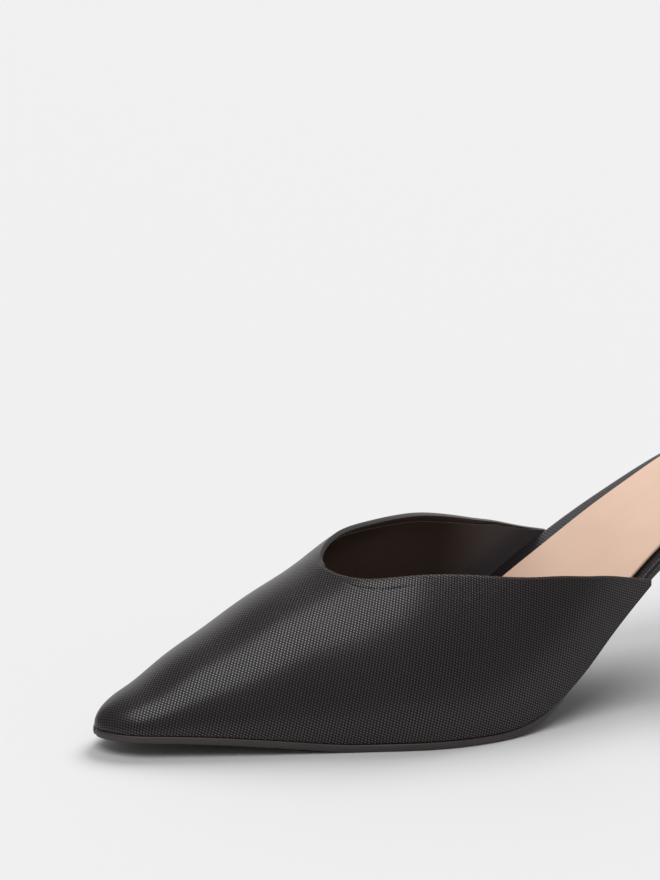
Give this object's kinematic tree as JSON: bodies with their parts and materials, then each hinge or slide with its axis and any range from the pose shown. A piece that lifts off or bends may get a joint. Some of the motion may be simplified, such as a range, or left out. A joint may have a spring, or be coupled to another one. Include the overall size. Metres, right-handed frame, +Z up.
{
  "type": "mule",
  "caption": "Pointed-toe heeled mule for the right foot: open back, low-cut grained black vamp, thin sole, tan sock and slim covered heel.",
  "frame": {"origin": "on the floor, under the middle of the shoe's bounding box", "axes": "+X points from the heel to the toe, +Y to the wearer's left, the medial side of this right shoe, +Z up"},
  "size_m": [0.2494, 0.0762, 0.0667],
  "materials": {
    "grained_leather": "fine crosshatch grain, soft gloss",
    "sole_brown": "smooth, dark brown",
    "board_wrap": "the vamp's grained leather, wrapped round the edge",
    "tan_lining": "smooth, matte, faintly mottled",
    "heel_cover": "the vamp's grained leather, stretched over the heel",
    "tip_black": "matte, hard top piece"
  },
  "bodies": {
    "root": {"upper": "grained_leather", "outsole": "sole_brown", "insole_board": "board_wrap", "sock": "tan_lining", "heel": "heel_cover", "heel_tip": "tip_black"}
  },
  "joints": []
}
